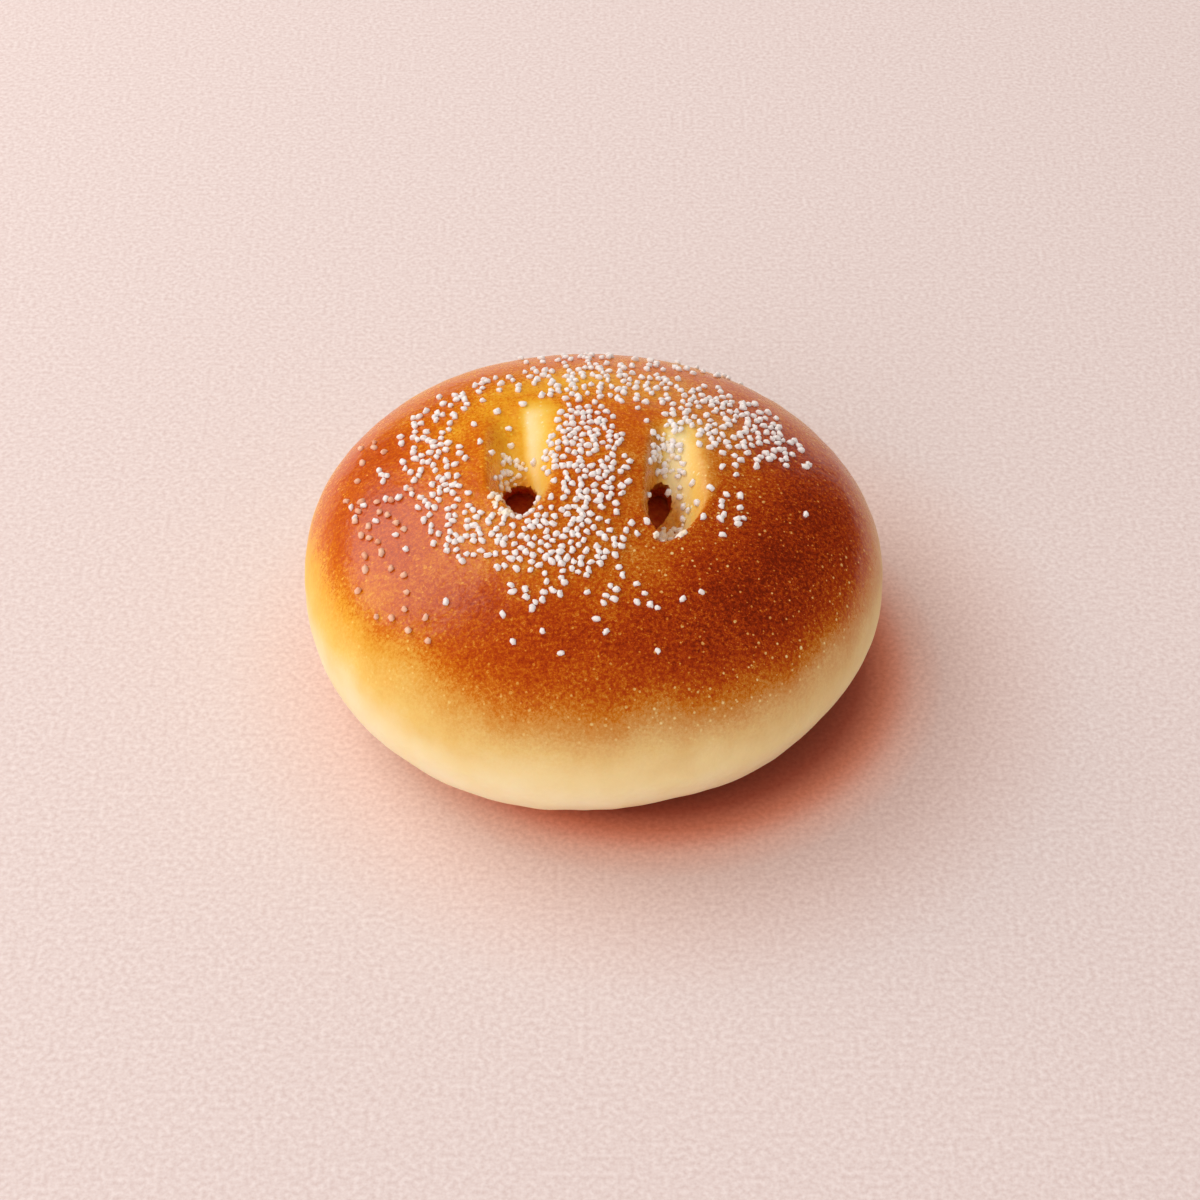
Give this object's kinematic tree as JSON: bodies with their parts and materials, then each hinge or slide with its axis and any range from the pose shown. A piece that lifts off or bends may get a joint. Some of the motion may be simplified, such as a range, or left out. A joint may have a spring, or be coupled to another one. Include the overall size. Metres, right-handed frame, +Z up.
{
  "type": "anpan",
  "caption": "Round sweet bun with a browned domed crust, pale rolled-under sides, slits in its top that open onto red bean paste, and white poppy seeds baked on",
  "frame": {"origin": "middle of the flat underside, at the bottom of the bounding box", "axes": "+Z up through the dome; the slits run along Y, and the bun's front, where the longer slit-free shoulder is, faces -Y; +X to the right seen from the front"},
  "size_m": [0.0822, 0.082, 0.0351],
  "materials": {
    "crust": "egg-washed baked crust, satin on the dome and dull on the pale sides",
    "paste": "moist red bean paste"
  },
  "bodies": {
    "root": {"bread": "crust", "bean_paste": "paste"}
  },
  "joints": []
}
